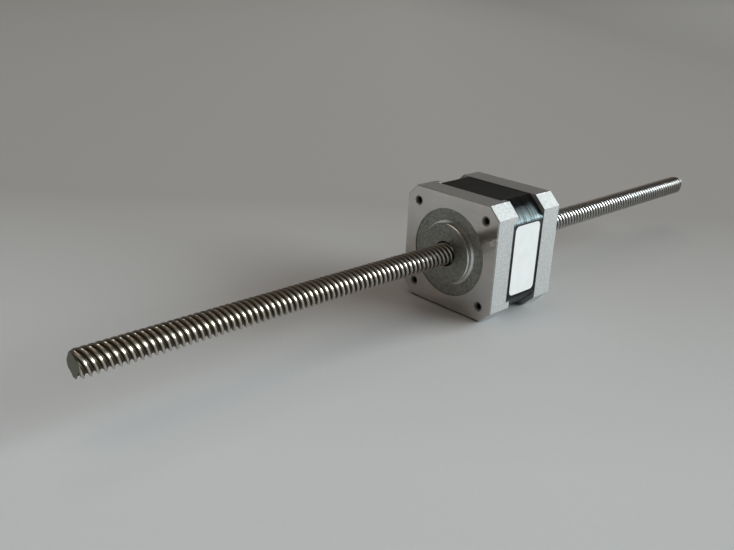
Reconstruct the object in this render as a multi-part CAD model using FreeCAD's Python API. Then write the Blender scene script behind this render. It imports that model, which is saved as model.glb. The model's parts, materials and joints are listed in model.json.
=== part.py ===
import FreeCAD, Part
import math
import os

# Through-screw linear stepper motor: a 42 mm square motor whose hollow rotor carries a nut,
# so that the long lead screw travels through it from end to end.
# Frame: the screw lies along Y, the mounting face is the plane y = 0 and looks to -Y, Z is up.
# Lengths are in millimetres.

# Square housing
SQUARE = 42.0
CORNER_CUT = 4.3
BODY_LENGTH = 34.0
BOLT_SPACING = 31.0
EDGE_BREAK = 0.3

# Front end bell
PILOT_R = 11.0
PILOT_HEIGHT = 2.0
FACE_RING_R = 15.9
FACE_RING_DEPTH = 0.3
SCREW_BORE_R = 4.6
FRONT_BELL_END = 8.3
LUG_END = 10.2
LUG_HALF_GAP = 14.4
MOUNT_HOLE_R = 1.5
MOUNT_HOLE_DEPTH = 4.5
MOUNT_HOLE_SINK = 0.15

# Inside of both end bells
CAVITY_REACH = 19.0
HUB_R = 11.8
FRONT_FLOOR = 3.0
REAR_FLOOR = 31.2
HUB_CLEARANCE = 0.3

# Stator stack: a slightly smaller square whose corners are cut by a circle
STATOR_SQUARE = 41.7
STATOR_CORNER_R = 25.1
STATOR_END = 25.0
REGISTER_CLEARANCE = 0.05
POLE_COUNT = 8
POLE_NECK = 4.2
SLOT_BOTTOM_R = 18.3
SHOE_R = 12.9
STATOR_BORE_R = 11.2
TEETH_PER_POLE = 6

# Rotor
ROTOR_TEETH = 50
ROTOR_R = 11.0
TOOTH_DEPTH = 0.6
CUP_LENGTH = 7.0
CUP_GAP = 2.0
MAGNET_R = 9.6
SLEEVE_R = 7.0
SLEEVE_BORE_R = 5.0
NUT_LENGTH = 25.0
NUT_CLEARANCE = 0.05

# Ball bearings, 12 x 21 x 5
BEARING_BORE_R = 6.0
BEARING_R = 10.5
BEARING_WIDTH = 5.0
FRONT_BEARING = 1.5
REAR_BEARING = 26.8
INNER_RACE_R = 7.2
OUTER_RACE_R = 9.6
BALL_COUNT = 9
BALL_CLEARANCE = 0.02
CAGE_WALL = 0.7
CAGE_LOW = 1.75
CAGE_HIGH = 0.6
CAGE_POCKET = 2.5
CAGE_RIM = 0.45

# Wave washer behind the rear bearing
WASHER_BORE_R = 8.8
WASHER_R = 10.3
WASHER_THICKNESS = 0.25
WASHER_SPACE = 0.6
WASHER_WAVES = 3
WASHER_STEPS = 24

# Coils and the plastic frames that they are wound on
FRAME_PLATE = 0.8
FRAME_LINER = 0.35
FRAME_RIM_REACH = 17.4
FRAME_RIM_WALL = 0.6
FRAME_FLANGE_REACH = 12.2
FRAME_FLANGE_WALL = 0.5
FRAME_FLANGE_WIDTH = 8.0
FRAME_HEIGHT = 4.0
COIL_INNER = 13.1
COIL_OUTER = 16.7
COIL_THICKNESS = 2.0
COIL_CORNER = 1.2
COIL_GAP = 0.03

# Terminal board and wiring socket, on the side away from the label
BOARD_THICKNESS = 1.0
BOARD_OUT = 17.0
BOARD_IN = 12.6
BOARD_WIDTH = 15.6
SOCKET_OUT = 25.0
SOCKET_IN = 18.95
SOCKET_FRONT = 25.1
SOCKET_REAR = 32.2
SOCKET_WIDTH = 15.8
SOCKET_MOUTH_WIDTH = 13.4
SOCKET_MOUTH_HEIGHT = 3.6
SOCKET_DEPTH = 4.8
SOCKET_KEY = 1.6
SOCKET_KEY_PLACE = 4.0
WINDOW_CLEARANCE = 0.1
PIN_COUNT = 6
PIN_PITCH = 2.0
PIN_SIZE = 0.5
PIN_OUT = 24.2
PIN_IN = 15.8

# Housing screws, M3 from the rear, with the core of the thread where they hold in the front bell
SCREW_R = 1.5
SCREW_CORE_R = 1.25
SCREW_CORE_CLEARANCE = 0.02
SCREW_CLEARANCE_R = 1.7
SCREW_TIP = 5.5
SCREW_SEAT = 31.6
HEAD_R = 2.75
HEAD_HEIGHT = 2.0
COUNTERBORE_R = 3.0

# Side label
LABEL_LENGTH = 13.6
LABEL_HEIGHT = 25.4
LABEL_CORNER_R = 1.8
LABEL_THICKNESS = 0.12
LABEL_MID_Y = 16.6
LABEL_MID_Z = 0.3

# Lead screw, 8 mm over the thread
LEAD_SCREW_R = 4.0
LEAD_SCREW_FRONT = -136.4
LEAD_SCREW_LENGTH = 300.0
LEAD_SCREW_BEVEL = 0.5

# Worked out from the values above
HALF = SQUARE / 2
STATOR_MID = (FRONT_BELL_END + STATOR_END) / 2
TOOTH_PITCH = 360 / ROTOR_TEETH
HALF_SHOE = (TEETH_PER_POLE - 0.5) * TOOTH_PITCH / 2
POLE_STEP = 360 / POLE_COUNT
BALL_PITCH_R = (INNER_RACE_R + OUTER_RACE_R) / 2
BALL_R = (OUTER_RACE_R - INNER_RACE_R) / 2 - BALL_CLEARANCE
BOARD_FRONT = STATOR_END + FRAME_HEIGHT
PIN_MID_Y = BOARD_FRONT - PIN_SIZE / 2
REAR_SEAT_END = REAR_BEARING + BEARING_WIDTH + WASHER_SPACE
LINER_HALF = POLE_NECK / 2 + FRAME_LINER
HALF_RIGHT_ANGLE = 45
PAST = 1.0
TOUCH = 1e-6

ORIGIN = FreeCAD.Vector(0, 0, 0)
ALONG_Y = FreeCAD.Vector(0, 1, 0)


def polar(radius, degrees, y=0.0):
    """Point at a radius and angle round the screw, counted from +X towards +Z."""
    turn = math.radians(degrees)
    return FreeCAD.Vector(radius * math.cos(turn), y, radius * math.sin(turn))


def box(x0, x1, y0, y1, z0, z1):
    return Part.makeBox(x1 - x0, y1 - y0, z1 - z0, FreeCAD.Vector(x0, y0, z0))


def cylinder(radius, y0, y1, x=0.0, z=0.0):
    return Part.makeCylinder(radius, y1 - y0, FreeCAD.Vector(x, y0, z), ALONG_Y)


def ring(outer_r, inner_r, y0, y1):
    return cylinder(outer_r, y0, y1).cut(cylinder(inner_r, y0 - PAST, y1 + PAST))


def turned(outline):
    """Solid of revolution about the screw axis from (radius, y) corners."""
    corners = [FreeCAD.Vector(radius, y, 0) for radius, y in outline]
    return Part.Face(Part.makePolygon(corners + corners[:1])).revolve(ORIGIN, ALONG_Y, 360)


def swung_round(shape, degrees):
    """Copy of a shape built on the +X side, turned round the screw from +X towards +Z."""
    copy = shape.copy()
    copy.rotate(ORIGIN, ALONG_Y, -degrees)
    return copy


def prism(wire, y0, y1):
    """Solid with an outline in the plane y = 0, pushed along the screw from y0 to y1."""
    face = Part.Face(wire)
    face.translate(FreeCAD.Vector(0, y0, 0))
    return face.extrude(FreeCAD.Vector(0, y1 - y0, 0))


def polygon(reach, sides, first, y0, y1):
    """Regular prism round the screw. Reach is the distance to its flats, first the angle of one flat."""
    step = 360 / sides
    corner_r = reach / math.cos(math.radians(step / 2))
    corners = [polar(corner_r, first + (n + 0.5) * step) for n in range(sides)]
    return prism(Part.makePolygon(corners + corners[:1]), y0, y1)


def bolt_places():
    reach = BOLT_SPACING / 2
    return [(sx * reach, sz * reach) for sx in (-1, 1) for sz in (-1, 1)]


def drilled(shape, radius, y0, y1):
    """The shape with one hole on each corner of the bolt square."""
    return shape.cut([cylinder(radius, y0, y1, x, z) for x, z in bolt_places()])


def countersinks():
    """Cones that widen the mouths of the mounting holes in the front face."""
    mouth_r = MOUNT_HOLE_R + MOUNT_HOLE_SINK
    return [Part.makeCone(mouth_r, MOUNT_HOLE_R, MOUNT_HOLE_SINK, FreeCAD.Vector(x, 0, z), ALONG_Y)
            for x, z in bolt_places()]


def bell_block(y0, y1):
    """Square block with its four long edges cut off flat."""
    flat = HALF - CORNER_CUT
    corners = [(HALF, flat), (flat, HALF), (-flat, HALF), (-HALF, flat),
               (-HALF, -flat), (-flat, -HALF), (flat, -HALF), (HALF, -flat)]
    points = [FreeCAD.Vector(x, 0, z) for x, z in corners]
    return prism(Part.makePolygon(points + points[:1]), y0, y1)


def edge_broken(block, y):
    """The block with a small bevel round its outline on the face at y."""
    rim = [edge for edge in block.Edges if all(abs(v.Y - y) < TOUCH for v in edge.Vertexes)]
    return block.makeChamfer(EDGE_BREAK, rim)


def front_end_bell():
    block = edge_broken(bell_block(0, FRONT_BELL_END), 0)
    lugs = bell_block(FRONT_BELL_END, LUG_END)
    lugs = lugs.cut(cylinder(STATOR_CORNER_R + REGISTER_CLEARANCE, FRONT_BELL_END - PAST, LUG_END + PAST))
    lugs = lugs.cut([box(-LUG_HALF_GAP, LUG_HALF_GAP, 0, BODY_LENGTH, -SQUARE, SQUARE),
                     box(-SQUARE, SQUARE, 0, BODY_LENGTH, -LUG_HALF_GAP, LUG_HALF_GAP)])
    bell = block.fuse(lugs.Solids)
    bell = bell.cut(ring(FACE_RING_R, PILOT_R, -PAST, FACE_RING_DEPTH))
    bell = bell.fuse(turned([(0, FACE_RING_DEPTH), (PILOT_R, FACE_RING_DEPTH),
                             (PILOT_R, EDGE_BREAK - PILOT_HEIGHT), (PILOT_R - EDGE_BREAK, -PILOT_HEIGHT),
                             (0, -PILOT_HEIGHT)]))
    relief = FRONT_BEARING - HUB_CLEARANCE
    hollow = turned([(0, -PILOT_HEIGHT), (SCREW_BORE_R, -PILOT_HEIGHT), (SCREW_BORE_R, relief),
                     (OUTER_RACE_R, relief), (OUTER_RACE_R, FRONT_BEARING),
                     (BEARING_R, FRONT_BEARING), (BEARING_R, FRONT_BELL_END), (0, FRONT_BELL_END)])
    hub_end = FRONT_BEARING + BEARING_WIDTH + HUB_CLEARANCE
    cavity = polygon(CAVITY_REACH, POLE_COUNT, 0, FRONT_FLOOR, FRONT_BELL_END)
    bell = bell.cut([hollow, cavity.cut(cylinder(HUB_R, FRONT_FLOOR, hub_end))])
    bell = drilled(bell, MOUNT_HOLE_R, 0, MOUNT_HOLE_DEPTH).cut(countersinks())
    core_hole_r = SCREW_CORE_R + SCREW_CORE_CLEARANCE
    return drilled(bell, core_hole_r, SCREW_TIP - HUB_CLEARANCE, FRONT_BELL_END).removeSplitter()


def rear_end_bell():
    bell = edge_broken(bell_block(STATOR_END, BODY_LENGTH), BODY_LENGTH)
    hub_start = REAR_BEARING - HUB_CLEARANCE
    hollow = turned([(0, STATOR_END), (BEARING_R, STATOR_END), (BEARING_R, REAR_SEAT_END),
                     (SCREW_BORE_R, REAR_SEAT_END), (SCREW_BORE_R, BODY_LENGTH), (0, BODY_LENGTH)])
    half_window = SOCKET_WIDTH / 2 + WINDOW_CLEARANCE
    window = box(-SQUARE, -SOCKET_IN + PAST, STATOR_END, SOCKET_REAR + WINDOW_CLEARANCE,
                 -half_window, half_window)
    cavity = polygon(CAVITY_REACH, POLE_COUNT, 0, STATOR_END, REAR_FLOOR)
    bell = bell.cut([hollow, cavity.cut(cylinder(HUB_R, hub_start, REAR_FLOOR)), window])
    bell = drilled(bell, SCREW_CLEARANCE_R, STATOR_END, BODY_LENGTH)
    return drilled(bell, COUNTERBORE_R, SCREW_SEAT, BODY_LENGTH)


def pole_angles():
    return [(pole + 0.5) * POLE_STEP for pole in range(POLE_COUNT)]


def pole_corners(middle):
    """Outline of one pole seen along the screw: root, neck, shoe with its teeth, and back to the root."""
    half_neck = POLE_NECK / 2
    root = math.degrees(math.asin(half_neck / SLOT_BOTTOM_R))
    neck = math.degrees(math.asin(half_neck / SHOE_R))
    floor_r = STATOR_BORE_R + TOOTH_DEPTH
    corners = [polar(SLOT_BOTTOM_R, middle - root), polar(SHOE_R, middle - neck),
               polar(SHOE_R, middle - HALF_SHOE)]
    for tooth in range(TEETH_PER_POLE):
        start = middle - HALF_SHOE + tooth * TOOTH_PITCH
        end = start + TOOTH_PITCH / 2
        corners += [polar(STATOR_BORE_R, start), polar(STATOR_BORE_R, end)]
        if tooth < TEETH_PER_POLE - 1:
            corners += [polar(floor_r, end), polar(floor_r, start + TOOTH_PITCH)]
    corners += [polar(SHOE_R, middle + HALF_SHOE), polar(SHOE_R, middle + neck),
                polar(SLOT_BOTTOM_R, middle + root)]
    return corners


def stator_core():
    half = STATOR_SQUARE / 2
    stack = box(-half, half, FRONT_BELL_END, STATOR_END, -half, half)
    stack = stack.common(cylinder(STATOR_CORNER_R, FRONT_BELL_END, STATOR_END))
    inside = [corner for angle in pole_angles() for corner in pole_corners(angle)]
    stack = stack.cut(prism(Part.makePolygon(inside + inside[:1]), FRONT_BELL_END, STATOR_END))
    return drilled(stack, SCREW_CLEARANCE_R, FRONT_BELL_END, STATOR_END)


def rear_frame():
    """Plastic frame on the rear of the stator: a rim, and on each pole a plate, a flange and two liners."""
    top = STATOR_END + FRAME_HEIGHT
    rim_bore = FRAME_RIM_REACH - FRAME_RIM_WALL
    flange_back = FRAME_FLANGE_REACH + FRAME_FLANGE_WALL
    plate = box(flange_back, rim_bore, STATOR_END, STATOR_END + FRAME_PLATE, -LINER_HALF, LINER_HALF)
    half_flange = FRAME_FLANGE_WIDTH / 2
    flange = box(FRAME_FLANGE_REACH, flange_back, STATOR_END, top, -half_flange, half_flange)
    liners = [box(COIL_INNER, COIL_OUTER, STATOR_MID + PAST, STATOR_END, z, z + FRAME_LINER)
              for z in (POLE_NECK / 2, -LINER_HALF)]
    pole = plate.fuse([flange] + liners)
    rim = polygon(FRAME_RIM_REACH, POLE_COUNT, POLE_STEP / 2, STATOR_END, top)
    rim = rim.cut(polygon(rim_bore, POLE_COUNT, POLE_STEP / 2, STATOR_END, top))
    return rim.fuse([swung_round(pole, angle) for angle in pole_angles()]).removeSplitter()


def front_coil_frame():
    return rear_frame().mirror(FreeCAD.Vector(0, STATOR_MID, 0), ALONG_Y)


def rear_coil_frame():
    """The rear frame, with a notch for the connector pins."""
    reach = PIN_PITCH * PIN_COUNT / 2
    return rear_frame().cut(box(-SQUARE, -PIN_IN, BOARD_FRONT - 2 * PIN_SIZE, BODY_LENGTH, -reach, reach))


def coil(angle):
    """Closed loop of wire round one pole and its liners, with its outer corners taken off."""
    half_width = LINER_HALF + COIL_GAP
    low = FRONT_BELL_END - FRAME_PLATE - COIL_GAP
    high = STATOR_END + FRAME_PLATE + COIL_GAP
    inside = box(0, SQUARE, low, high, -half_width, half_width)
    outer_half = half_width + COIL_THICKNESS
    loop = box(COIL_INNER, COIL_OUTER, low - COIL_THICKNESS, high + COIL_THICKNESS, -outer_half, outer_half)
    corners = [edge for edge in loop.Edges if abs(edge.Vertexes[0].X - edge.Vertexes[1].X) > PAST]
    return swung_round(loop.makeChamfer(COIL_CORNER, corners).cut(inside), angle)


def phase_windings(first):
    """Every second coil round the stator."""
    return Part.makeCompound([coil(angle) for angle in pole_angles()[first::2]])


def rotor_sleeve():
    """Hollow shaft with a thicker middle that spaces the two bearings."""
    front_seat = FRONT_BEARING + BEARING_WIDTH
    rear_end = REAR_BEARING + BEARING_WIDTH
    return turned([(SLEEVE_BORE_R, FRONT_BEARING), (BEARING_BORE_R, FRONT_BEARING),
                   (BEARING_BORE_R, front_seat), (SLEEVE_R, front_seat),
                   (SLEEVE_R, REAR_BEARING), (BEARING_BORE_R, REAR_BEARING),
                   (BEARING_BORE_R, rear_end), (SLEEVE_BORE_R, rear_end)])


def drive_nut():
    """Lining of the sleeve. Its bore stands for the thread that runs on the lead screw."""
    start = STATOR_MID - NUT_LENGTH / 2
    return ring(SLEEVE_BORE_R, LEAD_SCREW_R + NUT_CLEARANCE, start, start + NUT_LENGTH)


def rotor_cup(y0, turn):
    """Toothed half of the rotor."""
    floor_r = ROTOR_R - TOOTH_DEPTH
    corners = []
    for tooth in range(ROTOR_TEETH):
        start = turn + tooth * TOOTH_PITCH
        middle = start + TOOTH_PITCH / 2
        corners += [polar(ROTOR_R, start), polar(ROTOR_R, middle)]
        corners += [polar(floor_r, middle), polar(floor_r, start + TOOTH_PITCH)]
    cup = prism(Part.makePolygon(corners + corners[:1]), y0, y0 + CUP_LENGTH)
    return cup.cut(cylinder(SLEEVE_R, y0, y0 + CUP_LENGTH))


def front_rotor_cup():
    return rotor_cup(STATOR_MID - CUP_GAP / 2 - CUP_LENGTH, 0)


def rear_rotor_cup():
    """The rear cup is half a tooth further round than the front one."""
    return rotor_cup(STATOR_MID + CUP_GAP / 2, TOOTH_PITCH / 2)


def rotor_magnet():
    return ring(MAGNET_R, SLEEVE_R, STATOR_MID - CUP_GAP / 2, STATOR_MID + CUP_GAP / 2)


def bearing_outer_ring(y0):
    return ring(BEARING_R, OUTER_RACE_R, y0, y0 + BEARING_WIDTH)


def bearing_inner_ring(y0):
    return ring(INNER_RACE_R, BEARING_BORE_R, y0, y0 + BEARING_WIDTH)


def ball():
    """Ball on the +X side with few flat faces: a cube cut by three more, each turned half a right angle."""
    half = BALL_R / math.sqrt(4 - 2 * math.sqrt(2))
    cube = box(-half, half, -half, half, -half, half)
    body = cube
    for axis in ((1, 0, 0), (0, 1, 0), (0, 0, 1)):
        body = body.common(cube.rotated(ORIGIN, FreeCAD.Vector(*axis), HALF_RIGHT_ANGLE))
    return body.translated(FreeCAD.Vector(BALL_PITCH_R, 0, 0))


def round_the_race(shape, y0):
    """One copy of a shape on the +X side for each ball, in the middle of a bearing."""
    place = FreeCAD.Vector(0, y0 + BEARING_WIDTH / 2, 0)
    return [swung_round(shape, n * 360 / BALL_COUNT).translated(place) for n in range(BALL_COUNT)]


def bearing_balls(y0):
    return Part.makeCompound(round_the_race(ball(), y0))


def bearing_cage(y0):
    """Crown cage: one closed rim, and fingers that stand between the balls."""
    middle = y0 + BEARING_WIDTH / 2
    sides = 2 * BALL_COUNT
    span = (middle - CAGE_LOW, middle + CAGE_HIGH)
    crown = polygon(BALL_PITCH_R + CAGE_WALL / 2, sides, 0, *span)
    crown = crown.cut(polygon(BALL_PITCH_R - CAGE_WALL / 2, sides, 0, *span))
    half = CAGE_POCKET / 2
    pocket = box(INNER_RACE_R, OUTER_RACE_R, CAGE_RIM - CAGE_LOW, BEARING_WIDTH, -half, half)
    return crown.cut(round_the_race(pocket, y0))


def wave_spring_washer():
    """Thin ring that rises and falls as it goes round the screw."""
    swing = (WASHER_SPACE - WASHER_THICKNESS) / 2
    middle = REAR_BEARING + BEARING_WIDTH + WASHER_SPACE / 2
    sections = []
    for step in range(WASHER_STEPS):
        angle = step * 360 / WASHER_STEPS
        low = middle - WASHER_THICKNESS / 2 + swing * math.cos(math.radians(WASHER_WAVES * angle))
        high = low + WASHER_THICKNESS
        corners = [polar(WASHER_BORE_R, angle, low), polar(WASHER_R, angle, low),
                   polar(WASHER_R, angle, high), polar(WASHER_BORE_R, angle, high)]
        sections.append(Part.makePolygon(corners + corners[:1]))
    return Part.makeLoft(sections, True, True, True)


def housing_screws():
    """Four screws that clamp the stator between the end bells."""
    screw = turned([(0, SCREW_TIP), (SCREW_CORE_R, SCREW_TIP), (SCREW_CORE_R, FRONT_BELL_END),
                    (SCREW_R, FRONT_BELL_END), (SCREW_R, SCREW_SEAT), (HEAD_R, SCREW_SEAT),
                    (HEAD_R, SCREW_SEAT + HEAD_HEIGHT), (0, SCREW_SEAT + HEAD_HEIGHT)])
    return Part.makeCompound([screw.translated(FreeCAD.Vector(x, 0, z)) for x, z in bolt_places()])


def terminal_board():
    half = BOARD_WIDTH / 2
    return box(-BOARD_OUT, -BOARD_IN, BOARD_FRONT, BOARD_FRONT + BOARD_THICKNESS, -half, half)


def pin_boxes():
    half = PIN_SIZE / 2
    places = [(n - (PIN_COUNT - 1) / 2) * PIN_PITCH for n in range(PIN_COUNT)]
    return [box(-PIN_OUT, -PIN_IN, PIN_MID_Y - half, PIN_MID_Y + half, z - half, z + half) for z in places]


def connector_pins():
    return Part.makeCompound(pin_boxes())


def connector_socket():
    """Shrouded socket, open to the side, with two key slots in the wall of its mouth."""
    half_width = SOCKET_WIDTH / 2
    half_mouth = SOCKET_MOUTH_WIDTH / 2
    half_height = SOCKET_MOUTH_HEIGHT / 2
    body = box(-SOCKET_OUT, -SOCKET_IN, SOCKET_FRONT, SOCKET_REAR, -half_width, half_width)
    mouth = box(-SQUARE, SOCKET_DEPTH - SOCKET_OUT, PIN_MID_Y - half_height, PIN_MID_Y + half_height,
                -half_mouth, half_mouth)
    keys = [box(-SQUARE, -HALF, SOCKET_FRONT - PAST, PIN_MID_Y, z - SOCKET_KEY / 2, z + SOCKET_KEY / 2)
            for z in (-SOCKET_KEY_PLACE, SOCKET_KEY_PLACE)]
    return body.cut([mouth] + keys + pin_boxes())


def side_label():
    x = STATOR_SQUARE / 2
    plate = box(x, x + LABEL_THICKNESS, LABEL_MID_Y - LABEL_LENGTH / 2, LABEL_MID_Y + LABEL_LENGTH / 2,
                LABEL_MID_Z - LABEL_HEIGHT / 2, LABEL_MID_Z + LABEL_HEIGHT / 2)
    corners = [edge for edge in plate.Edges if abs(edge.Length - LABEL_THICKNESS) < TOUCH]
    return plate.makeFillet(LABEL_CORNER_R, corners)


def lead_screw():
    front = LEAD_SCREW_FRONT
    rear = front + LEAD_SCREW_LENGTH
    edge_r = LEAD_SCREW_R - LEAD_SCREW_BEVEL
    return turned([(0, front), (edge_r, front), (LEAD_SCREW_R, front + LEAD_SCREW_BEVEL),
                   (LEAD_SCREW_R, rear - LEAD_SCREW_BEVEL), (edge_r, rear), (0, rear)])


def all_pieces():
    pieces = {
        "front_end_bell": front_end_bell(),
        "rear_end_bell": rear_end_bell(),
        "stator_core": stator_core(),
        "front_coil_frame": front_coil_frame(),
        "rear_coil_frame": rear_coil_frame(),
        "phase_a_windings": phase_windings(0),
        "phase_b_windings": phase_windings(1),
        "rotor_sleeve": rotor_sleeve(),
        "drive_nut": drive_nut(),
        "front_rotor_cup": front_rotor_cup(),
        "rear_rotor_cup": rear_rotor_cup(),
        "rotor_magnet": rotor_magnet(),
        "wave_spring_washer": wave_spring_washer(),
        "housing_screws": housing_screws(),
        "terminal_board": terminal_board(),
        "connector_socket": connector_socket(),
        "connector_pins": connector_pins(),
        "side_label": side_label(),
        "lead_screw": lead_screw(),
    }
    for end, y0 in (("front", FRONT_BEARING), ("rear", REAR_BEARING)):
        pieces[end + "_bearing_outer_ring"] = bearing_outer_ring(y0)
        pieces[end + "_bearing_inner_ring"] = bearing_inner_ring(y0)
        pieces[end + "_bearing_balls"] = bearing_balls(y0)
        pieces[end + "_bearing_cage"] = bearing_cage(y0)
    return pieces


os.makedirs("parts", exist_ok=True)
for node, shape in all_pieces().items():
    shape.exportStep("parts/" + node + ".step")
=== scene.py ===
import json
import math
import random

import bmesh
import bpy
from mathutils import Matrix, Quaternion, Vector


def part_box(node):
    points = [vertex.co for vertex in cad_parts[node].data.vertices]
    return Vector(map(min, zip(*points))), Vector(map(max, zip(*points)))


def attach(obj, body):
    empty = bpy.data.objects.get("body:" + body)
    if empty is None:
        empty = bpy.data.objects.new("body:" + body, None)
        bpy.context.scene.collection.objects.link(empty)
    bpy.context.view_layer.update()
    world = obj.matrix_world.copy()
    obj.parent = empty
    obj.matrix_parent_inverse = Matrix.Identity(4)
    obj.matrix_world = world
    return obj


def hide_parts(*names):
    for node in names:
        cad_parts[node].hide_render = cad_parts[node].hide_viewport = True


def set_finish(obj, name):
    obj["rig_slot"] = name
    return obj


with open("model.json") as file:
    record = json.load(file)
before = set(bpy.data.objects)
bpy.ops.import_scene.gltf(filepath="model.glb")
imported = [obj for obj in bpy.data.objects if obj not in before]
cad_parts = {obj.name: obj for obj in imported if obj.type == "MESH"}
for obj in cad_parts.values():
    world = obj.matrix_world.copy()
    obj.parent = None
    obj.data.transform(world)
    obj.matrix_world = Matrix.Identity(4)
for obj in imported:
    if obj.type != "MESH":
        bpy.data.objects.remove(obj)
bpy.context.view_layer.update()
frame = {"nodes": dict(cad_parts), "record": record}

# Through-screw stepper motor, dressed on its solids.
# Lengths are in metres. The screw lies along Y, the front face looks to -Y and Z is up.
MM = 0.001
WELD = 0.0005 * MM
SHARP_ANGLE = math.radians(35)
QUARTER_TURN = math.pi / 2
FULL_TURN = 2 * math.pi

# Half a thread profile is a row of (distance from the crest's middle, radius).
# Lead screw: trapezoidal thread with four starts
SCREW_PITCH = 2.0 * MM
SCREW_STARTS = 4
SCREW_COLUMNS = 40
SCREW_PHASE = 0.3 * MM
SCREW_END_BEVEL = 0.55 * MM
SCREW_END_CUTS = 3
SCREW_HALF_PROFILE = ((0.22 * MM, 4.00 * MM), (0.26 * MM, 3.96 * MM), (0.60 * MM, 3.16 * MM),
                      (0.72 * MM, 2.98 * MM), (0.90 * MM, 2.95 * MM))

# Thread in the mounting holes, M3
BOLT_REACH = 15.5 * MM
HOLE_PITCH = 0.5 * MM
HOLE_COLUMNS = 24
HOLE_WALL_R = 1.495 * MM
HOLE_THREAD = (0.2 * MM, 4.4 * MM)
HOLE_HALF_PROFILE = ((0.05 * MM, 1.24 * MM), (0.22 * MM, 1.48 * MM))

# Housing screws: pan heads with a cross recess
HEAD_R = 2.75 * MM
HEAD_HEIGHT = 2.0 * MM
HEAD_CORNER_R = 0.7 * MM
HEAD_CORNER_STEPS = 5
HEAD_COLUMNS = 40
HEAD_ANGLE_SEED = 5
SHANK_R = 1.5 * MM
SHANK_CORE_R = 1.25 * MM
SHANK_THREAD_END = 8.3 * MM
CROSS_ARMS = 4
CROSS_REACH = 1.65 * MM
CROSS_HALF_WIDTH = 0.36 * MM
CROSS_DEPTH = 1.2 * MM
CROSS_OVERSHOOT = 0.12 * MM
CROSS_TAPER = 0.55

# Stator stack. Its outer sides lie further out than STACK_SIDE and face out by at least STACK_FACING.
STACK_SIDE = 17.5 * MM
STACK_FACING = 0.5
SHEET_COUNT = 33
SHEET_EDGE = 0.07 * MM
SHEET_GROOVE = 0.07 * MM
SHEET_SLIP = 0.02 * MM
SHEET_SLIP_SEED = 3

# Zones of the materials. Each one fades in or out between its two numbers.
# End bells, by the depth behind the front face and the height over the axis
FRONT_FACE = (0.02 * MM, 0.1 * MM)
RING_FLOOR = (0.35 * MM, 0.4 * MM)
BELL_TOP = (20.9 * MM, 20.95 * MM)
# End bells, by the distance from the screw's axis
PILOT_INSIDE = (10.65 * MM, 10.8 * MM)
PILOT_OUTSIDE = (11.2 * MM, 11.8 * MM)
RING_EDGE = (15.88 * MM, 15.92 * MM)
# Mounting holes, by the distance from their own axis and then by the depth
HOLE_EDGE = (1.50 * MM, 1.56 * MM)
# The dark ring round each hole's mouth is painted shade, and so is the darkening deeper in the holes.
HOLE_SHADED_RIM = (1.70 * MM, 1.78 * MM)
HOLE_START = (0.1 * MM, 0.3 * MM)
HOLE_SHADE = (0.4 * MM, 1.6 * MM)
HOLE_END = (5.0 * MM, 5.2 * MM)
# Stator and lead screw, by the distance from the axis, from an end of the screw, and along Y
STATOR_CORNER = (24.75 * MM, 24.95 * MM)
# The dark colour in the screw's roots is painted shade.
SCREW_ROOT = (3.4 * MM, 3.92 * MM)
SCREW_END = (0.03 * MM, 0.06 * MM)
# Along Y the screw's colour is painted: a warm reflection in front, and shade towards the rear end.
FRONT_WARM_REFLECTION = (-60 * MM, 60 * MM)
REAR_PAINTED_SHADE = (90 * MM, 155 * MM)

# Parts of a noise's range that a material spreads over its own range
NOISE_WIDE = (0.2, 0.8)
NOISE_MIDDLE = (0.3, 0.7)
NOISE_NARROW = (0.35, 0.65)
NOISE_PATCHES = (0.35, 0.75)

# Stretches of a noise into marks
EVEN = (1, 1, 1)
MACHINING_MARKS = (40, 1, 1)
TURNING_MARKS = (1, 0.05, 1)
STATOR_SHEETS = (40, 1, 40)
ROTOR_SHEETS = (20, 1, 20)
WIRE_PITCH = 0.35 * MM

# Camera, placed from the photograph's outlines
CAMERA_PLACE = Vector((0.17292, -0.20216, 0.09390))
CAMERA_AZIMUTH = math.radians(46.65)
CAMERA_ELEVATION = math.radians(21.42)
CAMERA_ROLL = math.radians(2.40)
CAMERA_LENS = 38.88
CAMERA_CLIP = 0.01
CAMERA_AWAY = Vector((-math.sin(CAMERA_AZIMUTH), math.cos(CAMERA_AZIMUTH), 0))
CAMERA_RIGHT = Vector((math.cos(CAMERA_AZIMUTH), math.sin(CAMERA_AZIMUTH), 0))

# A lamp reaches from one direction to another, seen from the motor. Its height is a share of its distance,
# and its strength is the light that it throws on a surface that faces it.
LAMP_DISTANCE = 8.0
KEY_FROM = Vector((0.937, 0.251, 0.242))
KEY_TO = Vector((0.18, 0.894, 0.407))
KEY_HEIGHT = 0.28
KEY_STRENGTH = 1.19
KEY_COLOR = (0.91, 1.0, 1.015)
TOP_FROM = Vector((-0.63, 0.28, 0.72))
TOP_TO = Vector((-0.57, 0.40, 0.72))
TOP_HEIGHT = 0.10
TOP_STRENGTH = 0.025
TOP_COLOR = (1.0, 0.97, 0.93)

# The room fades by the height of the direction, from 0 at the horizon to 1 overhead.
ROOM_FILL = Vector((-0.12, -0.10, 0.99))
ROOM_FILL_FADE = (0.80, 1.0)
ROOM_FILL_COLOR = (0.97, 0.83, 0.71, 1.0)
ROOM_FADE = (0.0, 0.5)
ROOM_HORIZON_COLOR = (0.09, 0.085, 0.079, 1.0)
ROOM_TOP_COLOR = (0.075, 0.068, 0.059, 1.0)
ROOM_WALL_FADE = (0.13, 0.28)
ROOM_WALL_COLOR = (0.275, 0.268, 0.259, 1.0)

# The floor lies a little under the end bells, so that a dark line shows under their lower edges.
FLOOR_REACH = 6.0
FLOOR_SEGMENTS = 96
FLOOR_GAP = 0.45 * MM
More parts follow.
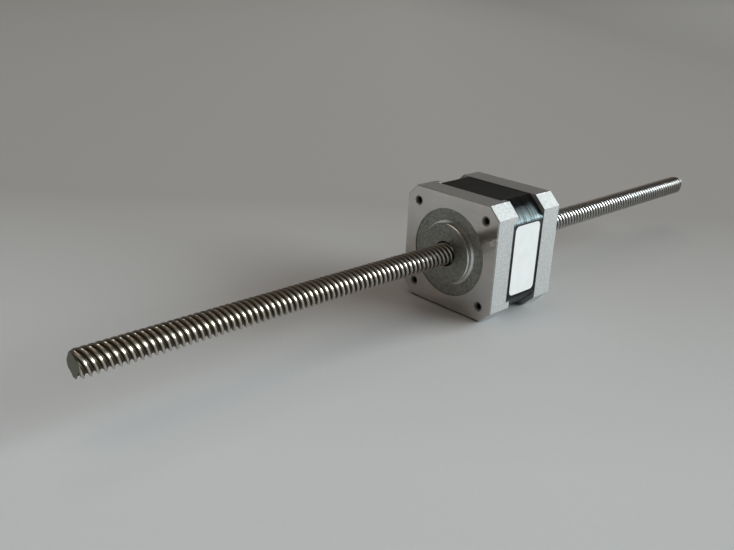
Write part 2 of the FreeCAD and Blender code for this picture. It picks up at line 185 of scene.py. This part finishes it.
# The floor's colour holds painted shade: darker behind the motor and towards its right.
FLOOR_BEHIND_SHADE_FADE = (-0.10, 0.13)
FLOOR_NEAR = (0.62, 0.63, 0.645, 1.0)
FLOOR_BEHIND_SHADED = (0.375, 0.36, 0.352, 1.0)
FLOOR_RIGHT_SHADE_FADE = (0.02, 0.5)
FLOOR_RIGHT_PAINTED_SHADE = 0.24
FLOOR_FLECK = 0.03


# Meshes

def loose_object(name, mesh_data):
    """Makes an object of a bmesh and frees the bmesh."""
    mesh = bpy.data.meshes.new(name)
    mesh_data.to_mesh(mesh)
    mesh_data.free()
    loose = bpy.data.objects.new(name, mesh)
    bpy.context.scene.collection.objects.link(loose)
    return loose


def new_piece(name, mesh_data, body, slot_name, *stands_for):
    """Makes a piece of a bmesh, puts it on a body and names its material slot."""
    bmesh.ops.recalc_face_normals(mesh_data, faces=mesh_data.faces)
    piece = loose_object(name, mesh_data)
    piece.data.shade_smooth()
    piece.data.set_sharp_from_angle(angle=SHARP_ANGLE)
    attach(piece, body)
    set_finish(piece, slot_name)
    if stands_for:
        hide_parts(*stands_for)
    return piece


def add_to(joined, part):
    """Copies one bmesh into another and frees it."""
    mesh = bpy.data.meshes.new("part")
    part.to_mesh(mesh)
    part.free()
    joined.from_mesh(mesh)
    bpy.data.meshes.remove(mesh)


def cut_by(solid, cutter):
    """A new mesh: one bmesh with another taken away from it."""
    body = loose_object("body", solid)
    tool = loose_object("tool", cutter)
    cut = body.modifiers.new("cut", "BOOLEAN")
    cut.object = tool
    cut.operation = "DIFFERENCE"
    cut.solver = "EXACT"
    bpy.context.view_layer.update()
    mesh = bpy.data.meshes.new_from_object(body.evaluated_get(bpy.context.evaluated_depsgraph_get()))
    for loose in (body, tool):
        bpy.data.objects.remove(loose)
    return mesh


def open_rims(mesh_data):
    """The open edges of a mesh, as one list for its lower end and one for its upper end along Y."""
    rim = [edge for edge in mesh_data.edges if edge.is_boundary]
    middle = sum(edge.verts[0].co.y for edge in rim) / len(rim)
    low = [edge for edge in rim if edge.verts[0].co.y < middle]
    return low, [edge for edge in rim if edge.verts[0].co.y >= middle]


def mirrored_profile(half, pitch):
    """One pitch of a thread from the half on one side of its crest, as (share of the pitch, radius)."""
    near = [(distance / pitch, radius) for distance, radius in half]
    far = [(1 - share, radius) for share, radius in reversed(near)]
    return near + far


def radius_at(profile, share):
    """Radius of a thread profile at a share of its pitch."""
    share %= 1.0
    points = [(profile[-1][0] - 1, profile[-1][1])] + profile + [(profile[0][0] + 1, profile[0][1])]
    for (s0, r0), (s1, r1) in zip(points, points[1:]):
        if s0 <= share <= s1:
            return r0 + (r1 - r0) * (share - s0) / (s1 - s0)


def thread_surface(profile, pitch, starts, y0, y1, columns, phase=0.0):
    """Right-hand thread about the Y axis between two flat ends, open at both, built along its helices.

    The phase is how far above the lower end a crest lies on the +X side."""
    surface = bmesh.new()
    lead = pitch * starts
    spare = 2
    rows = (math.ceil((y1 - y0) / pitch) + starts + spare + 1) * len(profile)
    grid = []
    for column in range(columns):
        turn = FULL_TURN * column / columns
        fall = lead * column / columns - phase
        line = []
        for row in range(rows):
            whole, part = divmod(row, len(profile))
            y = y0 + (whole - spare + profile[part][0]) * pitch - fall
            radius = profile[part][1]
            if not y0 < y < y1:
                y = min(max(y, y0), y1)
                radius = radius_at(profile, (y + fall - y0) / pitch)
            line.append(surface.verts.new((radius * math.cos(turn), y, radius * math.sin(turn))))
        grid.append(line)
    seam = starts * len(profile)
    for column in range(columns):
        near = grid[column]
        far = grid[column + 1] if column + 1 < columns else None
        for row in range(rows - 1):
            if far:
                corners = (near[row], near[row + 1], far[row + 1], far[row])
            elif row >= seam:
                corners = (near[row], near[row + 1], grid[0][row + 1 - seam], grid[0][row - seam])
            else:
                continue
            surface.faces.new(corners)
    bmesh.ops.remove_doubles(surface, verts=surface.verts, dist=WELD)
    return surface


def lead_screw():
    """Threaded rod, cut off flat at both ends and bevelled there."""
    low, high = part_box("lead_screw")
    profile = mirrored_profile(SCREW_HALF_PROFILE, SCREW_PITCH)
    rod = thread_surface(profile, SCREW_PITCH, SCREW_STARTS, low.y, high.y, SCREW_COLUMNS, SCREW_PHASE)
    for cut in range(1, SCREW_END_CUTS + 1):
        inset = SCREW_END_BEVEL * cut / SCREW_END_CUTS
        for y in (low.y + inset, high.y - inset):
            bmesh.ops.bisect_plane(rod, geom=rod.verts[:] + rod.edges[:] + rod.faces[:], dist=WELD,
                                   plane_co=(0, y, 0), plane_no=(0, 1, 0))
    for point in rod.verts:
        limit = high.x - SCREW_END_BEVEL + min(point.co.y - low.y, high.y - point.co.y)
        radius = math.hypot(point.co.x, point.co.z)
        if radius > limit:
            point.co.x *= limit / radius
            point.co.z *= limit / radius
    for rim in open_rims(rod):
        bmesh.ops.edgeloop_fill(rod, edges=rim)
    return new_piece("lead_screw_thread", rod, "screw", "thread_steel", "lead_screw")


def corner_places():
    """The (x, z) places of the four mounting holes and of the four housing screws."""
    return [(sx * BOLT_REACH, sz * BOLT_REACH) for sx in (-1, 1) for sz in (-1, 1)]


def hole_threads():
    """Thread inside the four mounting holes, as thin liners."""
    profile = mirrored_profile(HOLE_HALF_PROFILE, HOLE_PITCH)
    across = Matrix.Rotation(QUARTER_TURN, 4, "X")
    joined = bmesh.new()
    for x, z in corner_places():
        liner = thread_surface(profile, HOLE_PITCH, 1, *HOLE_THREAD, HOLE_COLUMNS)
        for rim, y in zip(open_rims(liner), HOLE_THREAD):
            outer = bmesh.ops.create_circle(liner, segments=HOLE_COLUMNS, radius=HOLE_WALL_R,
                                            matrix=Matrix.Translation((0, y, 0)) @ across)
            edges = list({edge for vert in outer["verts"] for edge in vert.link_edges})
            bmesh.ops.bridge_loops(liner, edges=rim + edges)
        low, high = open_rims(liner)
        bmesh.ops.bridge_loops(liner, edges=low + high)
        bmesh.ops.translate(liner, verts=liner.verts, vec=(x, 0, z))
        add_to(joined, liner)
    return new_piece("mount_hole_threads", joined, "housing", "bell_aluminium")


def turned(outline, columns):
    """Closed solid of revolution about the Y axis from (radius, y) corners that start and end on the axis."""
    solid = bmesh.new()
    turns = [FULL_TURN * column / columns for column in range(columns)]
    rings = []
    for radius, y in outline:
        if radius < WELD:
            rings.append([solid.verts.new((0, y, 0))] * columns)
            continue
        rings.append([solid.verts.new((radius * math.cos(t), y, radius * math.sin(t))) for t in turns])
    for lower, upper in zip(rings, rings[1:]):
        for column in range(columns):
            after = (column + 1) % columns
            corners = [lower[column], lower[after], upper[after], upper[column]]
            solid.faces.new(list(dict.fromkeys(corners)))
    bmesh.ops.recalc_face_normals(solid, faces=solid.faces)
    return solid


def cross_cutter(top):
    """Tapered cross that is sunk into a screw head whose top is at the given height."""
    cutter = bmesh.new()
    arm = ((CROSS_HALF_WIDTH, -CROSS_HALF_WIDTH), (CROSS_REACH, -CROSS_HALF_WIDTH),
           (CROSS_REACH, CROSS_HALF_WIDTH))
    outline = []
    for n in range(CROSS_ARMS):
        turn = n * QUARTER_TURN
        for along, across in arm:
            outline.append((along * math.cos(turn) - across * math.sin(turn),
                            along * math.sin(turn) + across * math.cos(turn)))
    mouth = [cutter.verts.new((x, top + CROSS_OVERSHOOT, z)) for x, z in outline]
    bottom = [cutter.verts.new((x * CROSS_TAPER, top - CROSS_DEPTH, z * CROSS_TAPER)) for x, z in outline]
    cutter.faces.new(mouth)
    cutter.faces.new(bottom)
    for n in range(len(outline)):
        after = (n + 1) % len(outline)
        cutter.faces.new((mouth[n], mouth[after], bottom[after], bottom[n]))
    bmesh.ops.recalc_face_normals(cutter, faces=cutter.faces)
    return cutter


def housing_screws():
    """Four screws with rounded pan heads and a cross recess, each stopped at its own angle."""
    low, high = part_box("housing_screws")
    seat = high.y - HEAD_HEIGHT
    outline = [(0, low.y), (SHANK_CORE_R, low.y), (SHANK_CORE_R, SHANK_THREAD_END),
               (SHANK_R, SHANK_THREAD_END), (SHANK_R, seat), (HEAD_R, seat)]
    for step in range(HEAD_CORNER_STEPS + 1):
        turn = QUARTER_TURN * step / HEAD_CORNER_STEPS
        outline.append((HEAD_R - HEAD_CORNER_R * (1 - math.cos(turn)),
                        high.y - HEAD_CORNER_R * (1 - math.sin(turn))))
    outline.append((0, high.y))
    mesh = cut_by(turned(outline, HEAD_COLUMNS), cross_cutter(high.y))
    angles = random.Random(HEAD_ANGLE_SEED)
    joined = bmesh.new()
    for x, z in corner_places():
        screw = bmesh.new()
        screw.from_mesh(mesh)
        turn = Matrix.Rotation(angles.uniform(0, QUARTER_TURN), 4, "Y")
        bmesh.ops.transform(screw, matrix=Matrix.Translation((x, 0, z)) @ turn, verts=screw.verts)
        add_to(joined, screw)
    bpy.data.meshes.remove(mesh)
    return new_piece("housing_screw_set", joined, "housing", "screw_plating", "housing_screws")


def faces_out(face):
    """Whether a face of the stator is one of its outer sides."""
    middle = face.calc_center_median()
    out = Vector((middle.x, 0, middle.z)).normalized()
    return max(abs(middle.x), abs(middle.z)) > STACK_SIDE and face.normal.dot(out) > STACK_FACING


def sheet_levels(low, high):
    """Steps of the stack's outside along Y, as (y, depth): a flat edge for each sheet, grooves between."""
    slips = random.Random(SHEET_SLIP_SEED)
    sheet = (high - low) / SHEET_COUNT
    levels = []
    for n in range(SHEET_COUNT):
        slip = slips.uniform(0, SHEET_SLIP)
        start = low + n * sheet
        if n:
            levels.append((start, SHEET_GROOVE))
        levels += [(start + SHEET_EDGE, slip), (start + sheet - SHEET_EDGE, slip)]
    return levels


def laminated_stack():
    """The stator with its outer sides cut into sheets by shallow grooves."""
    low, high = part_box("stator_core")
    stack = bmesh.new()
    stack.from_mesh(frame["nodes"]["stator_core"].data)
    bmesh.ops.remove_doubles(stack, verts=stack.verts, dist=WELD)
    bmesh.ops.delete(stack, geom=[face for face in stack.faces if faces_out(face)], context="FACES")
    rims = []
    for rim in open_rims(stack):
        points = {vert for edge in rim for vert in edge.verts}
        rims.append(sorted(points, key=lambda vert: math.atan2(vert.co.z, vert.co.x)))
    rings = [rims[0]]
    for y, depth in sheet_levels(low.y, high.y):
        ring = []
        for vert in rims[0]:
            scale = 1 - depth / math.hypot(vert.co.x, vert.co.z)
            ring.append(stack.verts.new((vert.co.x * scale, y, vert.co.z * scale)))
        rings.append(ring)
    rings.append(rims[1])
    for lower, upper in zip(rings, rings[1:]):
        for n in range(len(lower)):
            after = (n + 1) % len(lower)
            stack.faces.new((lower[n], lower[after], upper[after], upper[n]))
    return new_piece("stator_stack", stack, "housing", "stator_black", "stator_core")


# Materials

class Nodes:
    """Node tree of a material or the world, with short calls for the nodes that are used here."""

    def __init__(self, owner, place):
        owner.use_nodes = True
        self.nodes = owner.node_tree.nodes
        self.links = owner.node_tree.links
        self.place = self.nodes.new("ShaderNodeTexCoord").outputs[place]

    def put(self, socket, value):
        """Sets an input to a constant, or joins it to another node's output."""
        if isinstance(value, bpy.types.NodeSocket):
            self.links.new(value, socket)
        else:
            socket.default_value = value

    def math(self, operation, first, second=0.0):
        """Result of one operation on one or two numbers."""
        node = self.nodes.new("ShaderNodeMath")
        node.operation = operation
        self.put(node.inputs[0], first)
        self.put(node.inputs[1], second)
        return node.outputs[0]

    def product(self, first, *others):
        """Product of two or more numbers, for a place that lies in several zones."""
        for other in others:
            first = self.math("MULTIPLY", first, other)
        return first

    def axes(self):
        """The three coordinates."""
        node = self.nodes.new("ShaderNodeSeparateXYZ")
        self.put(node.inputs[0], self.place)
        return node.outputs

    def along(self, direction):
        """Distance along a direction."""
        node = self.nodes.new("ShaderNodeVectorMath")
        node.operation = "DOT_PRODUCT"
        self.put(node.inputs[0], self.place)
        node.inputs[1].default_value = direction.normalized()
        return node.outputs["Value"]

    def reach(self, first, second):
        """Length of the hypotenuse over two lengths."""
        squares = self.product(first, first), self.product(second, second)
        return self.math("SQRT", self.math("ADD", *squares))

    def radius(self):
        """Distance from the screw's axis."""
        x, _, z = self.axes()
        return self.reach(x, z)

    def grain(self, size, detail, stretch=EVEN):
        """Noise from 0 to 1 with features of about the given size, longer where stretch is more than 1."""
        mapping = self.nodes.new("ShaderNodeMapping")
        self.put(mapping.inputs["Vector"], self.place)
        mapping.inputs["Scale"].default_value = [1 / (size * s) for s in stretch]
        node = self.nodes.new("ShaderNodeTexNoise")
        self.put(node.inputs["Vector"], mapping.outputs[0])
        node.inputs["Scale"].default_value = 1.0
        node.inputs["Detail"].default_value = detail
        return node.outputs["Fac"]

    def spread(self, value, low, high, to_low=0.0, to_high=1.0):
        """Maps a range of a value on another, and holds it there."""
        node = self.nodes.new("ShaderNodeMapRange")
        for socket, number in zip(node.inputs, (value, low, high, to_low, to_high)):
            self.put(socket, number)
        return node.outputs[0]

    def past(self, value, zone):
        """0 before a zone and 1 past it."""
        return self.spread(value, *zone)

    def before(self, value, zone):
        """1 before a zone and 0 past it."""
        return self.spread(value, *zone, 1, 0)

    def mixed(self, kind, sockets, output, *values):
        """A Mix node, which has sockets of its own for each kind of value."""
        node = self.nodes.new("ShaderNodeMix")
        node.data_type = kind
        for index, value in zip(sockets, values):
            self.put(node.inputs[index], value)
        return node.outputs[output]

    def mix(self, share, first, second):
        """Colour between two colours."""
        return self.mixed("RGBA", (0, 6, 7), 2, share, first, second)

    def blend(self, share, first, second):
        """Number between two numbers."""
        return self.mixed("FLOAT", (0, 2, 3), 0, share, first, second)

    def tint(self, noise, dark, light, part=NOISE_MIDDLE):
        """Colour that varies between two colours with a noise."""
        return self.mix(self.spread(noise, *part), dark, light)

    def gloss(self, noise, smooth, rough):
        """Roughness that varies between two values with a noise."""
        return self.spread(noise, *NOISE_WIDE, smooth, rough)


class Look(Nodes):
    """One material, on the object's own coordinates."""

    def __init__(self, name, metallic=0.0, **constants):
        self.material = bpy.data.materials.new(name)
        super().__init__(self.material, "Object")
        self.surface = self.nodes["Principled BSDF"]
        self.put(self.surface.inputs["Metallic"], metallic)
        for socket, value in constants.items():
            self.put(self.surface.inputs[socket.replace("_", " ")], value)

    def finish(self, color, roughness, height, depth):
        """Sets colour and roughness, and a relief of the given depth."""
        self.put(self.surface.inputs["Base Color"], color)
        self.put(self.surface.inputs["Roughness"], roughness)
        bump = self.nodes.new("ShaderNodeBump")
        bump.inputs["Strength"].default_value = 1.0
        self.put(bump.inputs["Distance"], depth)
        self.put(bump.inputs["Height"], height)
        self.put(self.surface.inputs["Normal"], bump.outputs[0])
        return self.material


def grey(value, warm=0.0):
    """Opaque colour of a lightness, a little warmer or cooler than grey."""
    return (value * (1 + warm), value, value * (1 - warm), 1.0)


def bell_aluminium():
    """Blasted sides, smoother top and bottom, machined front face, cast ring and boss, turned pilot wall, and
    painted shade in the mounting holes: a dark ring round each mouth and darker deeper in.
    """
    look = Look("bell_aluminium", metallic=1.0)
    x, y, z = look.axes()
    radius = look.radius()
    fine = look.grain(0.25 * MM, 3)
    speckle = look.grain(0.75 * MM, 3)
    broad = look.grain(7 * MM, 2)
    streaks = look.grain(0.4 * MM, 2, MACHINING_MARKS)

    on_front = look.before(y, FRONT_FACE)
    on_top = look.past(look.math("ABSOLUTE", z), BELL_TOP)
    in_ring = look.product(look.before(radius, RING_EDGE), look.before(y, RING_FLOOR))
    on_wall = look.product(in_ring, look.past(radius, PILOT_INSIDE), look.before(radius, PILOT_OUTSIDE))
    from_hole = look.reach(look.math("SUBTRACT", look.math("ABSOLUTE", x), BOLT_REACH),
                           look.math("SUBTRACT", look.math("ABSOLUTE", z), BOLT_REACH))
    shaded_rim_zone = look.product(on_front, look.before(from_hole, HOLE_SHADED_RIM))
    in_hole = look.product(look.before(from_hole, HOLE_EDGE), look.past(y, HOLE_START),
                           look.before(y, HOLE_END))

    blasted = look.tint(speckle, grey(0.42), grey(0.54), NOISE_NARROW)
    machined = look.tint(streaks, grey(0.64, 0.03), grey(0.72, 0.03))
    machined = look.mix(look.spread(broad, *NOISE_PATCHES, 0, 0.3), machined, grey(0.50, 0.03))
    cast = look.tint(speckle, (0.227, 0.235, 0.216, 1), (0.366, 0.376, 0.348, 1), NOISE_NARROW)
    # Painted shade: the hole walls and their thread get darker deeper in.
    hole_painted_shade = look.mix(look.past(y, HOLE_SHADE), grey(0.26), grey(0.04))
    color = look.mix(on_front, blasted, machined)
    color = look.mix(in_ring, color, cast)
    color = look.mix(on_wall, color, grey(0.85))
    # Painted shade: a dark ring round the mouth of each mounting hole.
    color = look.mix(shaded_rim_zone, color, grey(0.08))
    color = look.mix(in_hole, color, hole_painted_shade)

    rough = look.gloss(fine, 0.64, 0.76)
    rough = look.blend(on_top, rough, look.gloss(fine, 0.40, 0.52))
    rough = look.blend(on_front, rough, look.gloss(streaks, 0.13, 0.17))
    rough = look.blend(in_ring, rough, look.gloss(fine, 0.36, 0.46))
    rough = look.blend(on_wall, rough, 0.14)
    rough = look.blend(shaded_rim_zone, rough, 0.4)
    on_face = look.math("SUBTRACT", on_front, in_ring)
    relief = look.product(fine, look.blend(on_face, 1, 0.12))
    return look.finish(color, rough, relief, 0.012 * MM)


def stator_black():
    """Black enamel on the flats, and ground sheet edges with a blue-grey sheen at the rounded corners."""
    look = Look("stator_black", Specular_IOR_Level=0.17)
    corner = look.past(look.radius(), STATOR_CORNER)
    sheets = look.grain(0.5 * MM, 2, STATOR_SHEETS)
    mottled = look.grain(0.6 * MM, 3)
    enamel = look.tint(mottled, grey(0.008), grey(0.015))
    ground = look.tint(sheets, (0.015, 0.019, 0.02, 1), (0.105, 0.13, 0.136, 1), NOISE_NARROW)
    rough = look.blend(corner, look.gloss(mottled, 0.45, 0.62), look.gloss(sheets, 0.10, 0.18))
    look.put(look.surface.inputs["Metallic"], corner)
    return look.finish(look.mix(corner, enamel, ground), rough, mottled, 0.008 * MM)


def thread_steel():
    """Rolled steel, dull in the roots, with painted light: dark roots and a darker rear end as painted shade,
    and a warm front as a painted reflection.
    """
    look = Look("thread_steel", metallic=1.0)
    low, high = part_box("lead_screw")
    _, y, _ = look.axes()
    fine = look.grain(0.2 * MM, 3)
    cloud = look.grain(3 * MM, 2)
    in_root = look.before(look.radius(), SCREW_ROOT)
    to_end = look.math("MINIMUM", look.math("SUBTRACT", y, low.y), look.math("SUBTRACT", high.y, y))
    on_end = look.before(to_end, SCREW_END)
    warm = look.tint(cloud, (0.487, 0.446, 0.385, 1), (0.60, 0.55, 0.477, 1))
    bare = look.tint(cloud, (0.49, 0.485, 0.475, 1), (0.58, 0.575, 0.565, 1))
    sawn = look.tint(fine, (0.155, 0.158, 0.12, 1), (0.205, 0.208, 0.16, 1))
    # Painted warm reflection towards the front end.
    color = look.mix(look.past(y, FRONT_WARM_REFLECTION), warm, bare)
    # Painted shade: darker towards the rear end.
    color = look.mix(look.spread(y, *REAR_PAINTED_SHADE, 0, 0.5), color, grey(0.2))
    # Painted shade in the thread roots.
    color = look.mix(in_root, color, (0.088, 0.077, 0.056, 1))
    color = look.mix(on_end, color, sawn)
    rough = look.blend(in_root, look.gloss(fine, 0.22, 0.28), 0.5)
    return look.finish(color, rough, fine, 0.001 * MM)


def copper_wire():
    """Enamelled wire, laid side by side round each pole."""
    look = Look("copper_wire", metallic=1.0, Coat_Weight=0.6, Coat_Roughness=0.15)
    turns = look.math("SINE", look.product(look.radius(), FULL_TURN / WIRE_PITCH))
    cloud = look.grain(1 * MM, 2)
    color = look.tint(cloud, (0.46, 0.17, 0.07, 1), (0.66, 0.29, 0.13, 1))
    return look.finish(color, look.gloss(cloud, 0.25, 0.38), turns, 0.05 * MM)


def label_film():
    """Blank white film, very slightly mottled."""
    look = Look("label_film", Coat_Weight=0.15, Coat_Roughness=0.3)
    fibre = look.grain(0.3 * MM, 3)
    color = look.tint(look.grain(4 * MM, 2), grey(0.70), grey(0.75))
    return look.finish(color, look.gloss(fibre, 0.4, 0.55), fibre, 0.005 * MM)


def moulded_plastic(name, dark, light, smooth, rough):
    """Plastic with a fine moulded texture."""
    look = Look(name)
    grain = look.grain(0.15 * MM, 2)
    color = look.tint(look.grain(2 * MM, 2), dark, light)
    return look.finish(color, look.gloss(grain, smooth, rough), grain, 0.006 * MM)


def plain_metal(name, dark, light, smooth, rough, size=0.3 * MM, stretch=EVEN):
    """Bare metal with a fine grain, or with turning or rolling marks where the grain is stretched."""
    look = Look(name, metallic=1.0)
    grain = look.grain(size, 2, stretch)
    return look.finish(look.tint(grain, dark, light), look.gloss(grain, smooth, rough), grain, 0.003 * MM)


def all_looks():
    """One material for each slot of the record."""
    plastics = {
        "frame_plastic": (grey(0.03), grey(0.05), 0.45, 0.6),
        "nut_plastic": (grey(0.6, 0.04), grey(0.7, 0.04), 0.35, 0.5),
        "cage_plastic": ((0.26, 0.17, 0.08, 1), (0.36, 0.25, 0.13, 1), 0.4, 0.55),
        "board_laminate": ((0.02, 0.14, 0.05, 1), (0.04, 0.2, 0.08, 1), 0.3, 0.45),
        "socket_plastic": (grey(0.70, 0.03), grey(0.78, 0.03), 0.3, 0.42),
    }
    metals = {
        "turned_steel": (grey(0.42), grey(0.55), 0.25, 0.4, 0.1 * MM, TURNING_MARKS),
        "rotor_steel": (grey(0.22), grey(0.34), 0.35, 0.5, 0.5 * MM, ROTOR_SHEETS),
        "magnet_plating": (grey(0.5, 0.02), grey(0.6, 0.02), 0.15, 0.28),
        "bearing_steel": (grey(0.52), grey(0.64), 0.12, 0.25),
        "screw_plating": (grey(0.42, 0.02), grey(0.56, 0.02), 0.22, 0.38),
        "pin_plating": (grey(0.6, 0.02), grey(0.7, 0.02), 0.2, 0.35),
    }
    looks = {
        "bell_aluminium": bell_aluminium(),
        "stator_black": stator_black(),
        "thread_steel": thread_steel(),
        "copper_wire": copper_wire(),
        "label_film": label_film(),
    }
    for name, values in plastics.items():
        looks[name] = moulded_plastic(name, *values)
    for name, values in metals.items():
        looks[name] = plain_metal(name, *values)
    return looks


def dress(new_pieces):
    """Gives each solid and each new piece the material of its slot."""
    looks = all_looks()
    for subpart in frame["record"]["subparts"]:
        materials = frame["nodes"][subpart["node"]].data.materials
        materials.clear()
        materials.append(looks[subpart["material_slot"]])
    for piece in new_pieces:
        piece.data.materials.append(looks[piece["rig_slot"]])


# Stage

def floor():
    """Pale floor, with painted shade that darkens it behind the motor and to its right."""
    low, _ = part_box("front_end_bell")
    sheet = bmesh.new()
    bmesh.ops.create_circle(sheet, cap_ends=True, segments=FLOOR_SEGMENTS, radius=FLOOR_REACH)
    ground = loose_object("floor", sheet)
    ground.location.z = low.z - FLOOR_GAP
    look = Look("floor", Specular_IOR_Level=0.1)
    paper = look.grain(1.5 * MM, 3)
    # Painted shade: darker behind the motor.
    color = look.mix(look.past(look.along(CAMERA_AWAY), FLOOR_BEHIND_SHADE_FADE), FLOOR_NEAR, FLOOR_BEHIND_SHADED)
    # Painted shade: darker towards the right.
    shade = look.spread(look.along(CAMERA_RIGHT), *FLOOR_RIGHT_SHADE_FADE, 0, FLOOR_RIGHT_PAINTED_SHADE)
    color = look.mix(shade, color, grey(0))
    color = look.mix(look.spread(paper, *NOISE_MIDDLE, 0, FLOOR_FLECK), color, grey(0.3))
    ground.data.materials.append(look.finish(color, 0.9, paper, 0.01 * MM))


def lamp(name, first, last, height, strength, color):
    """Soft rectangular lamp that faces the motor and reaches from one direction to another."""
    first = first.normalized() * LAMP_DISTANCE
    last = last.normalized() * LAMP_DISTANCE
    light = bpy.data.lights.new(name, "AREA")
    light.shape = "RECTANGLE"
    light.size = (last - first).length
    light.size_y = height * LAMP_DISTANCE
    light.energy = strength * (math.pi * LAMP_DISTANCE) ** 2
    light.color = color
    holder = bpy.data.objects.new(name, light)
    along = (last - first).normalized()
    outward = (last + first).normalized()
    axes = Matrix((along, outward.cross(along), outward)).transposed()
    holder.matrix_world = Matrix.Translation((first + last) / 2) @ axes.to_4x4()
    holder.visible_camera = False
    bpy.context.scene.collection.objects.link(holder)


def room_light():
    """Soft warm light from overhead, in a dim room whose wall is paler near the floor."""
    room = bpy.data.worlds.new("room")
    tree = Nodes(room, "Generated")
    _, _, height = tree.axes()
    color = tree.mix(tree.past(height, ROOM_FADE), ROOM_HORIZON_COLOR, ROOM_TOP_COLOR)
    color = tree.mix(tree.past(height, ROOM_WALL_FADE), ROOM_WALL_COLOR, color)
    color = tree.mix(tree.past(tree.along(ROOM_FILL), ROOM_FILL_FADE), color, ROOM_FILL_COLOR)
    tree.put(tree.nodes["Background"].inputs["Color"], color)
    bpy.context.scene.world = room


def camera():
    """Camera at the photograph's place, turned as it was."""
    lens = bpy.data.cameras.new("camera")
    lens.lens = CAMERA_LENS
    lens.clip_start = CAMERA_CLIP
    eye = bpy.data.objects.new("camera", lens)
    forward = CAMERA_AWAY * math.cos(CAMERA_ELEVATION)
    forward.z = -math.sin(CAMERA_ELEVATION)
    eye.location = CAMERA_PLACE
    eye.rotation_mode = "QUATERNION"
    eye.rotation_quaternion = forward.to_track_quat("-Z", "Y") @ Quaternion((0, 0, 1), CAMERA_ROLL)
    bpy.context.scene.collection.objects.link(eye)
    bpy.context.scene.camera = eye


dress([lead_screw(), hole_threads(), housing_screws(), laminated_stack()])
floor()
lamp("key", KEY_FROM, KEY_TO, KEY_HEIGHT, KEY_STRENGTH, KEY_COLOR)
lamp("top", TOP_FROM, TOP_TO, TOP_HEIGHT, TOP_STRENGTH, TOP_COLOR)
room_light()
camera()
bpy.context.scene.view_settings.view_transform = "Standard"
